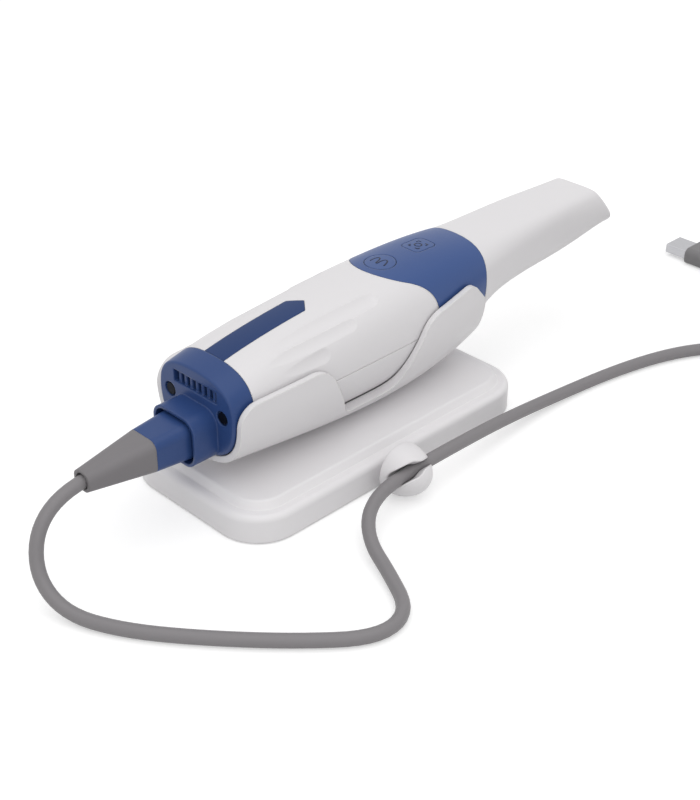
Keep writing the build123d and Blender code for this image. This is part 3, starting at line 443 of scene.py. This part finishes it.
def addClip(spec):
    made = addBud(spec)
    channel = spec["channel"]
    stem = spec["stem"]
    x, backY = spec["middle"][:2]
    sides = spec["rodSides"]
    stemLength = stem["length"] + spec["reach"] * stem["sunk"]
    stemPlace = (x, backY + stem["length"] - stemLength / 2, stem["height"])
    cutWith(made, addRod(sides, stem["radius"], stemLength, stemPlace, (pi / 2, 0, 0)), "UNION")
    cutLength = channel["span"] * spec["radius"]
    cutPlace = (x, channel["y"], channel["z"])
    cutWith(made, addRod(sides, channel["radius"], cutLength, cutPlace, (0, pi / 2, 0)), "DIFFERENCE")
    cutWith(made, addSlotTool(spec), "DIFFERENCE")
    applyModifier(made, "REMESH", mode="VOXEL", voxel_size=spec["voxel"])
    applyModifier(made, "SMOOTH", factor=spec["rimFactor"], iterations=spec["rimSmooth"])   # moulded rims
    bpy.ops.object.shade_smooth()
    return made


budClip = addClip(clip)
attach(budClip, "holder")
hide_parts("cable_clip")
print("clip on the base")


# Signs printed on the two buttons: a wave, and a picture frame with a ring, drawn in millimetres
millimetre = 0.001
signLine = {
    "aboveButton": 0.1,          # height that the sign is dropped from
    "sides": 2,
    "steps": 8,
    "ringPoints": 8,
    "curveOrder": 3,
    "cornerOrder": 2,            # straight runs
    "ringOrder": 4,
    "cornerPoints": 3,           # a line of so few points is a corner
}
signs = {
    "waveSign": {
        "button": "scan_button",
        "middle": (0.0272, 0.0),
        "stroke": 0.0012,
        "proud": 0.00014,
        "lines": [[
            (-1.9, 3.6), (0.5, 3.9), (2.6, 3.0), (1.6, 1.5), (-2.0, 0.6),
            (-2.0, -0.3), (0.6, 0.1), (2.9, -0.6), (1.9, -2.5), (-1.5, -3.4),
        ]],
        "rings": [],
    },
    "frameSign": {
        "button": "capture_button",
        "middle": (0.0489, 0.0),
        "stroke": 0.0011,
        "proud": 0.00014,
        "lines": [
            [(1.7, 2.5), (3.0, 2.5), (3.0, 1.2)],
            [(-1.7, 2.5), (-3.0, 2.5), (-3.0, 1.2)],
            [(1.7, -2.5), (3.0, -2.5), (3.0, -1.2)],
            [(-1.7, -2.5), (-3.0, -2.5), (-3.0, -1.2)],
        ],
        "rings": [1.6],
    },
}


def addSign(name, spec):
    button = nodes[spec["button"]]
    line = bpy.data.curves.new(name, "CURVE")
    line.dimensions = "3D"
    line.bevel_depth = spec["stroke"] / 2
    line.bevel_resolution = signLine["sides"]
    line.use_fill_caps = True

    def onButton(x, y):
        across, along = spec["middle"]
        above = Vector((across + x * millimetre, along + y * millimetre, signLine["aboveButton"]))
        place, normal = button.ray_cast(above, Vector((0, 0, -1)))[1:3]
        return place - normal * (spec["stroke"] / 2 - spec["proud"])

    def addSpline(points, closed, order):
        spline = line.splines.new("NURBS")
        spline.points.add(len(points) - 1)
        for point, place in zip(spline.points, points):
            point.co = (*onButton(*place), 1.0)
        spline.order_u = order
        spline.use_cyclic_u = closed
        spline.use_endpoint_u = not closed
        spline.resolution_u = signLine["steps"]

    for points in spec["lines"]:
        isCorner = len(points) <= signLine["cornerPoints"]
        addSpline(points, False, signLine["cornerOrder"] if isCorner else signLine["curveOrder"])
    for radius in spec["rings"]:
        turns = [i * 2 * pi / signLine["ringPoints"] for i in range(signLine["ringPoints"])]
        addSpline([(radius * cos(turn), radius * sin(turn)) for turn in turns], True, signLine["ringOrder"])
    made = bpy.data.objects.new(name, line)
    bpy.context.scene.collection.objects.link(made)
    bpy.ops.object.select_all(action="DESELECT")
    made.select_set(True)
    bpy.context.view_layer.objects.active = made
    bpy.ops.object.convert(target="MESH")
    bpy.ops.object.mode_set(mode="EDIT")
    finishShape()
    bpy.ops.object.shade_smooth()
    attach(made, spec["button"])
    return made


signPieces = [addSign(name, spec) for name, spec in signs.items()]
print("signs on the buttons")


# Surface effects that several finishes share
def startGroup(name, inputs, outputs):
    group = bpy.data.node_groups.new(name, "ShaderNodeTree")
    for label, kind, value in inputs:
        socket = group.interface.new_socket(name=label, in_out="INPUT", socket_type=kind)
        socket.default_value = value
    for label, kind in outputs:
        group.interface.new_socket(name=label, in_out="OUTPUT", socket_type=kind)
    return group, group.nodes.new("NodeGroupInput"), group.nodes.new("NodeGroupOutput")


def mathNode(tree, operation, first, second):
    node = tree.nodes.new("ShaderNodeMath")
    node.operation = operation
    for socket, value in zip(node.inputs, (first, second)):
        if isinstance(value, (int, float)):
            socket.default_value = value
        else:
            tree.links.new(value, socket)
    return node.outputs[0]


def noiseNode(tree, place, scale, detail):
    node = tree.nodes.new("ShaderNodeTexNoise")
    node.inputs["Detail"].default_value = detail
    tree.links.new(place, node.inputs["Vector"])
    if isinstance(scale, (int, float)):
        node.inputs["Scale"].default_value = scale
    else:
        tree.links.new(scale, node.inputs["Scale"])
    return node.outputs[0]


# Spark-eroded mould texture with slow changes of gloss where hands have been
mould = {
    "detail": 3.0,
    "broadScale": 55.0,
    "broadDetail": 4.0,
    "slowScale": 18.0,
    "slowDetail": 2.0,
    "middle": 0.5,               # a noise runs from 0 to 1
    "speckRough": 0.12,
}


def makeMouldGrain(spec):
    group, given, out = startGroup(
        "mouldGrain",
        [
            ("Grain Scale", "NodeSocketFloat", 2600.0),
            ("Roughness", "NodeSocketFloat", 0.4),
            ("Gloss Drift", "NodeSocketFloat", 0.06),
        ],
        [("Height", "NodeSocketFloat"), ("Roughness", "NodeSocketFloat"), ("Tone", "NodeSocketFloat")],
    )
    place = group.nodes.new("ShaderNodeTexCoord").outputs["Object"]
    fine = noiseNode(group, place, given.outputs["Grain Scale"], spec["detail"])
    broad = noiseNode(group, place, spec["broadScale"], spec["broadDetail"])
    slow = noiseNode(group, place, spec["slowScale"], spec["slowDetail"])
    group.links.new(fine, out.inputs["Height"])
    drift = mathNode(group, "SUBTRACT", broad, spec["middle"])
    drift = mathNode(group, "MULTIPLY", drift, given.outputs["Gloss Drift"])
    drift = mathNode(group, "DIVIDE", drift, spec["middle"])
    speck = mathNode(group, "SUBTRACT", fine, spec["middle"])
    speck = mathNode(group, "MULTIPLY", speck, spec["speckRough"])
    rough = mathNode(group, "ADD", given.outputs["Roughness"], drift)
    rough = mathNode(group, "ADD", rough, speck)
    group.links.new(rough, out.inputs["Roughness"])
    group.links.new(slow, out.inputs["Tone"])
    return group


# Rounded edges: a softened normal, and a mask of where the surface turns, along which the plastics paint a
# highlight
rounding = {"samples": 6, "flat": 0.98, "turned": 0.75}


def makeSoftEdge(spec):
    group, given, out = startGroup(
        "softEdge",
        [("Radius", "NodeSocketFloat", 0.0004)],
        [("Normal", "NodeSocketVector"), ("Edge", "NodeSocketFloat")],
    )
    turned = group.nodes.new("ShaderNodeBevel")
    turned.samples = spec["samples"]
    group.links.new(given.outputs["Radius"], turned.inputs["Radius"])
    plain = group.nodes.new("ShaderNodeNewGeometry")
    same = group.nodes.new("ShaderNodeVectorMath")
    same.operation = "DOT_PRODUCT"
    group.links.new(turned.outputs["Normal"], same.inputs[0])
    group.links.new(plain.outputs["Normal"], same.inputs[1])
    edge = group.nodes.new("ShaderNodeMapRange")
    edge.inputs["From Min"].default_value = spec["flat"]
    edge.inputs["From Max"].default_value = spec["turned"]
    group.links.new(same.outputs["Value"], edge.inputs["Value"])
    group.links.new(turned.outputs["Normal"], out.inputs["Normal"])
    group.links.new(edge.outputs["Result"], out.inputs["Edge"])
    return group


mouldGrain = makeMouldGrain(mould)
softEdge = makeSoftEdge(rounding)


def startMaterial(name):
    made = bpy.data.materials.new(name)
    made.use_nodes = True
    return made, made.node_tree, made.node_tree.nodes["Principled BSDF"]


def groupNode(tree, group, **values):
    node = tree.nodes.new("ShaderNodeGroup")
    node.node_tree = group
    for label, value in values.items():
        node.inputs[label.replace("_", " ")].default_value = value
    return node


def mixColour(tree, factor, first, second):
    node = tree.nodes.new("ShaderNodeMix")
    node.data_type = "RGBA"
    colourSockets = (node.inputs[0], node.inputs[6], node.inputs[7])
    for socket, value in zip(colourSockets, (factor, first, second)):
        if isinstance(value, (int, float)):
            socket.default_value = value
        elif isinstance(value, tuple):
            socket.default_value = (*value, 1.0)
        else:
            tree.links.new(value, socket)
    return node.outputs[2]


def scaleValue(tree, value, low, high):
    node = tree.nodes.new("ShaderNodeMapRange")
    node.inputs["To Min"].default_value = low
    node.inputs["To Max"].default_value = high
    tree.links.new(value, node.inputs["Value"])
    return node.outputs["Result"]


def bumpNormal(tree, height, strength, distance, normal):
    node = tree.nodes.new("ShaderNodeBump")
    node.inputs["Strength"].default_value = strength
    node.inputs["Distance"].default_value = distance
    tree.links.new(height, node.inputs["Height"])
    tree.links.new(normal, node.inputs["Normal"])
    return node.outputs["Normal"]


def makePlastic(spec):
    made, tree, shader = startMaterial(spec["name"])
    grain = groupNode(
        tree,
        mouldGrain,
        Grain_Scale=spec["grain"],
        Roughness=spec["rough"],
        Gloss_Drift=spec["drift"],
    )
    edge = groupNode(tree, softEdge, Radius=spec["edgeRadius"])
    tone = scaleValue(tree, grain.outputs["Tone"], *spec["tone"])
    body = mixColour(tree, tone, spec["colour"], spec["shade"])
    # Painted highlight: rounded edges are mixed toward a lighter colour, as if they caught the light
    edgeHighlight = mathNode(tree, "MULTIPLY", edge.outputs["Edge"], spec["edgeHighlightAmount"])
    tree.links.new(mixColour(tree, edgeHighlight, body, spec["edgeHighlightColour"]), shader.inputs["Base Color"])
    tree.links.new(grain.outputs["Roughness"], shader.inputs["Roughness"])
    normal = bumpNormal(tree, grain.outputs["Height"], spec["bump"], spec["depth"], edge.outputs["Normal"])
    tree.links.new(normal, shader.inputs["Normal"])
    shader.inputs["Specular IOR Level"].default_value = spec["specular"]
    return made


whitePlastic = {
    "name": "whitePlastic",
    "colour": (0.735, 0.72, 0.732),
    "shade": (0.71, 0.695, 0.708),
    "tone": (0.25, 0.75),        # how far the colour drifts toward the shade
    # lighter colour painted along rounded edges as a highlight, and how strongly
    "edgeHighlightColour": (0.95, 0.935, 0.92),
    "edgeHighlightAmount": 0.9,
    "edgeRadius": 0.0009,
    "rough": 0.36,
    "drift": 0.05,
    "grain": 2600.0,
    "bump": 0.25,
    "depth": 0.00004,
    "specular": 0.32,
}
standPlastic = dict(
    whitePlastic,
    name="standPlastic",
    colour=(0.80, 0.785, 0.797),
    shade=(0.775, 0.76, 0.772),
)
bluePlastic = dict(
    whitePlastic,
    name="bluePlastic",
    colour=(0.026, 0.062, 0.195),
    shade=(0.023, 0.056, 0.178),
    edgeHighlightColour=(0.10, 0.15, 0.33),
    edgeHighlightAmount=0.35,
    specular=0.28,
)
panelPlastic = dict(
    bluePlastic,
    name="panelPlastic",
    colour=(0.043, 0.089, 0.254),
    shade=(0.039, 0.082, 0.235),
)
buttonPlastic = dict(
    bluePlastic,
    name="buttonPlastic",
    colour=(0.049, 0.096, 0.262),
    shade=(0.045, 0.090, 0.245),
)
stripPlastic = dict(
    bluePlastic,
    name="stripPlastic",
    colour=(0.016, 0.043, 0.145),
    shade=(0.014, 0.039, 0.132),
    specular=0.2,
)
signPlastic = dict(
    bluePlastic,
    name="signPlastic",
    colour=(0.005, 0.012, 0.045),
    shade=(0.004, 0.010, 0.040),
    edgeHighlightAmount=0.0,
)
blackPlastic = dict(
    whitePlastic,
    name="blackPlastic",
    colour=(0.018, 0.018, 0.020),
    shade=(0.014, 0.014, 0.016),
    edgeHighlightColour=(0.05, 0.05, 0.05),
    rough=0.48,
)
greyPlastic = dict(
    whitePlastic,
    name="greyPlastic",
    colour=(0.20, 0.195, 0.20),
    shade=(0.18, 0.175, 0.18),
    edgeHighlightColour=(0.28, 0.275, 0.28),
    rough=0.45,
)
greyRubber = dict(
    whitePlastic,
    name="greyRubber",
    colour=(0.200, 0.190, 0.198),
    shade=(0.184, 0.175, 0.182),
    edgeHighlightColour=(0.27, 0.26, 0.265),
    edgeHighlightAmount=0.3,
    rough=0.52,
    grain=1800.0,
    bump=0.4,
)
cableJacket = dict(
    greyRubber,
    name="cableJacket",
    colour=(0.235, 0.224, 0.232),
    shade=(0.215, 0.205, 0.212),
    rough=0.44,
)
darkRubber = dict(
    greyRubber,
    name="darkRubber",
    colour=(0.030, 0.030, 0.031),
    shade=(0.022, 0.022, 0.023),
    edgeHighlightColour=(0.06, 0.06, 0.06),
    rough=0.75,
    grain=900.0,
    bump=0.8,
)


def makeMetal(spec):
    made, tree, shader = startMaterial(spec["name"])
    place = tree.nodes.new("ShaderNodeTexCoord").outputs["Object"]
    squeeze = tree.nodes.new("ShaderNodeMapping")
    squeeze.inputs["Scale"].default_value = spec["brush"]
    tree.links.new(place, squeeze.inputs["Vector"])
    lines = noiseNode(tree, squeeze.outputs["Vector"], spec["scale"], spec["detail"])
    edge = groupNode(tree, softEdge, Radius=spec["edgeRadius"])
    tree.links.new(scaleValue(tree, lines, *spec["rough"]), shader.inputs["Roughness"])
    tree.links.new(mixColour(tree, lines, spec["colour"], spec["shade"]), shader.inputs["Base Color"])
    normal = bumpNormal(tree, lines, spec["bump"], spec["depth"], edge.outputs["Normal"])
    tree.links.new(normal, shader.inputs["Normal"])
    shader.inputs["Metallic"].default_value = 1.0
    return made


steel = {
    "name": "steel",
    "colour": (0.56, 0.56, 0.58),
    "shade": (0.44, 0.44, 0.46),
    "brush": (1.0, 0.08, 1.0),
    "scale": 3000.0,
    "detail": 4.0,
    "rough": (0.22, 0.42),
    "bump": 0.3,
    "depth": 0.00002,
    "edgeRadius": 0.0002,
}
blackSteel = dict(
    steel,
    name="blackSteel",
    colour=(0.010, 0.012, 0.020),
    shade=(0.006, 0.008, 0.014),
    rough=(0.5, 0.7),
)
aluminium = dict(
    steel,
    name="aluminium",
    colour=(0.72, 0.72, 0.74),
    shade=(0.62, 0.62, 0.64),
    brush=(0.1, 1.0, 1.0),
)
mirrorCoat = dict(
    steel,
    name="mirrorCoat",
    colour=(0.92, 0.92, 0.93),
    shade=(0.90, 0.90, 0.91),
    brush=(1.0, 1.0, 1.0),
    scale=400.0,
    rough=(0.015, 0.04),
    bump=0.0,
)


def makeBoard(spec):
    # Solder mask over copper tracks
    made, tree, shader = startMaterial(spec["name"])
    place = tree.nodes.new("ShaderNodeTexCoord").outputs["Object"]
    tracks = tree.nodes.new("ShaderNodeTexBrick")
    tracks.inputs["Scale"].default_value = spec["scale"]
    tracks.inputs["Mortar Size"].default_value = spec["trackSize"]
    for label, grey in spec["trackMask"].items():
        tracks.inputs[label].default_value = (grey, grey, grey, 1)
    tree.links.new(place, tracks.inputs["Vector"])
    dust = noiseNode(tree, place, spec["dustScale"], spec["dustDetail"])
    colour = mixColour(tree, tracks.outputs["Color"], spec["colour"], spec["track"])
    tree.links.new(colour, shader.inputs["Base Color"])
    tree.links.new(scaleValue(tree, dust, *spec["rough"]), shader.inputs["Roughness"])
    return made


circuitBoard = {
    "name": "circuitBoard",
    "colour": (0.010, 0.085, 0.035),
    "track": (0.03, 0.16, 0.06),
    "scale": 400.0,
    "trackSize": 0.03,
    "trackMask": {"Color1": 0.0, "Color2": 0.25, "Mortar": 1.0},
    "dustScale": 400.0,
    "dustDetail": 3.0,
    "rough": (0.25, 0.45),
}


def makeGlass(spec):
    made, tree, shader = startMaterial(spec["name"])
    place = tree.nodes.new("ShaderNodeTexCoord").outputs["Object"]
    smear = noiseNode(tree, place, spec["smearScale"], spec["smearDetail"])
    tree.links.new(scaleValue(tree, smear, *spec["rough"]), shader.inputs["Roughness"])
    shader.inputs["Base Color"].default_value = (*spec["colour"], 1.0)
    shader.inputs["Transmission Weight"].default_value = 1.0
    shader.inputs["IOR"].default_value = spec["ior"]
    return made


coatedGlass = {
    "name": "coatedGlass",
    "colour": (0.86, 0.93, 0.97),
    "smearScale": 120.0,
    "smearDetail": 3.0,
    "rough": (0.0, 0.06),
    "ior": 1.5,
}


def makeWeave(spec):
    # Hook-and-loop strap: crossed threads with a soft pile
    made, tree, shader = startMaterial(spec["name"])
    place = tree.nodes.new("ShaderNodeTexCoord").outputs["Object"]
    threads = tree.nodes.new("ShaderNodeTexChecker")
    threads.inputs["Scale"].default_value = spec["scale"]
    tree.links.new(place, threads.inputs["Vector"])
    pile = noiseNode(tree, place, spec["pileScale"], spec["pileDetail"])
    height = mathNode(tree, "ADD", threads.outputs["Fac"], pile)
    edge = groupNode(tree, softEdge, Radius=spec["edgeRadius"])
    tree.links.new(mixColour(tree, pile, spec["colour"], spec["shade"]), shader.inputs["Base Color"])
    tree.links.new(scaleValue(tree, pile, *spec["rough"]), shader.inputs["Roughness"])
    normal = bumpNormal(tree, height, spec["bump"], spec["depth"], edge.outputs["Normal"])
    tree.links.new(normal, shader.inputs["Normal"])
    shader.inputs["Sheen Weight"].default_value = spec["sheen"]
    return made


strapWeave = {
    "name": "strapWeave",
    "colour": (0.020, 0.020, 0.022),
    "shade": (0.035, 0.035, 0.038),
    "scale": 1400.0,
    "pileScale": 3500.0,
    "pileDetail": 4.0,
    "rough": (0.75, 0.95),
    "bump": 0.6,
    "depth": 0.0002,
    "edgeRadius": 0.0003,
    "sheen": 0.3,
}

finishes = {
    "white": makePlastic(whitePlastic),
    "stand": makePlastic(standPlastic),
    "blue": makePlastic(bluePlastic),
    "panel": makePlastic(panelPlastic),
    "button": makePlastic(buttonPlastic),
    "strip": makePlastic(stripPlastic),
    "sign": makePlastic(signPlastic),
    "black": makePlastic(blackPlastic),
    "grey": makePlastic(greyPlastic),
    "boot": makePlastic(greyRubber),
    "jacket": makePlastic(cableJacket),
    "mat": makePlastic(darkRubber),
    "steel": makeMetal(steel),
    "blackSteel": makeMetal(blackSteel),
    "aluminium": makeMetal(aluminium),
    "mirror": makeMetal(mirrorCoat),
    "board": makeBoard(circuitBoard),
    "glass": makeGlass(coatedGlass),
    "weave": makeWeave(strapWeave),
}

nodeFinish = {
    "stand": ["base_cover", "cable_clip"],
    "white": ["cradle", "upper_shell", "lower_shell", "tip", "nose"],
    "blue": ["rear_cap", "plug_body"],
    "panel": ["button_panel"],
    "button": ["scan_button", "capture_button"],
    "strip": ["top_strip"],
    "black": [
        "base_plate", "fan_frame", "fan_rotor", "rear_frame", "button_switches", "board_chips",
        "optics_block", "camera_barrel", "projector_barrel",
    ],
    "grey": ["plug_grip"],
    "boot": ["strain_relief", "cable", "cable_tail", "cable_coil"],
    "mat": ["anti_slip_mat"],
    "steel": ["base_screws", "cradle_screws", "chassis_screws", "ballast", "plug_shell"],
    "blackSteel": ["cap_screws"],
    "aluminium": ["chassis", "heat_sink"],
    "mirror": ["tip_mirror"],
    "board": ["main_board", "button_board", "sensor_board"],
    "glass": ["nose_window", "lenses"],
    "weave": ["coil_tie"],
}


def dress(piece, finish):
    piece.data.materials.clear()
    piece.data.materials.append(finishes[finish])


for finish, names in nodeFinish.items():
    for name in names:
        dress(nodes[name], finish)
dress(leadCord, "jacket")
dress(coilStrap, "weave")
dress(budClip, "white")
dress(tipSleeve, "white")
for piece in signPieces:
    dress(piece, "sign")
print("finishes on", sum(len(names) for names in nodeFinish.values()), "nodes")


# Studio: white world and floor for the camera, plain soft light for the object
studio = {
    "worldLight": 0.70,
    "floorSize": 8.0,
    "floorColour": (0.72, 0.72, 0.72),
    "floorGlow": 0.42,
    "floorRough": 0.9,
    "lampAim": (0, 0, 0.03),
    "lamps": [                   # name, place, size and power
        ("topLamp", (-0.10, -0.14, 1.25), 1.5, 6.0),
        ("frontLamp", (-0.55, -0.72, 0.65), 0.9, 1.6),
    ],
}


def seenByCamera(tree):
    rays = tree.nodes.new("ShaderNodeLightPath")
    seen = mathNode(tree, "MAXIMUM", rays.outputs["Is Camera Ray"], rays.outputs["Is Glossy Ray"])
    return mathNode(tree, "MAXIMUM", seen, rays.outputs["Is Transmission Ray"])


def makeWorld(spec):
    world = bpy.data.worlds.new("studioWorld")
    world.use_nodes = True
    tree = world.node_tree
    background = tree.nodes["Background"]
    background.inputs["Color"].default_value = (1, 1, 1, 1)
    strength = scaleValue(tree, seenByCamera(tree), spec["worldLight"], 1.0)
    tree.links.new(strength, background.inputs["Strength"])
    bpy.context.scene.world = world


def makeFloor(spec):
    bpy.ops.object.select_all(action="DESELECT")
    bpy.ops.mesh.primitive_plane_add(size=spec["floorSize"])
    floor = bpy.context.object
    floor.name = "studioFloor"
    made, tree, shader = startMaterial("studioFloor")
    shader.inputs["Base Color"].default_value = (*spec["floorColour"], 1.0)
    shader.inputs["Roughness"].default_value = spec["floorRough"]
    shader.inputs["Specular IOR Level"].default_value = 0.0
    shader.inputs["Emission Color"].default_value = (1, 1, 1, 1)
    glow = scaleValue(tree, seenByCamera(tree), 0.0, spec["floorGlow"])
    tree.links.new(glow, shader.inputs["Emission Strength"])
    floor.data.materials.append(made)


def addLamp(name, place, size, power, target):
    aim = (Vector(target) - Vector(place)).to_track_quat("-Z", "Y").to_euler()
    bpy.ops.object.light_add(type="AREA", location=place, rotation=aim)
    lamp = bpy.context.object
    lamp.name = name
    lamp.data.size = size
    lamp.data.energy = power


makeWorld(studio)
makeFloor(studio)
for row in studio["lamps"]:
    addLamp(*row, studio["lampAim"])
bpy.context.scene.view_settings.view_transform = "Standard"
print("studio lit")

bpy.context.view_layer.update()
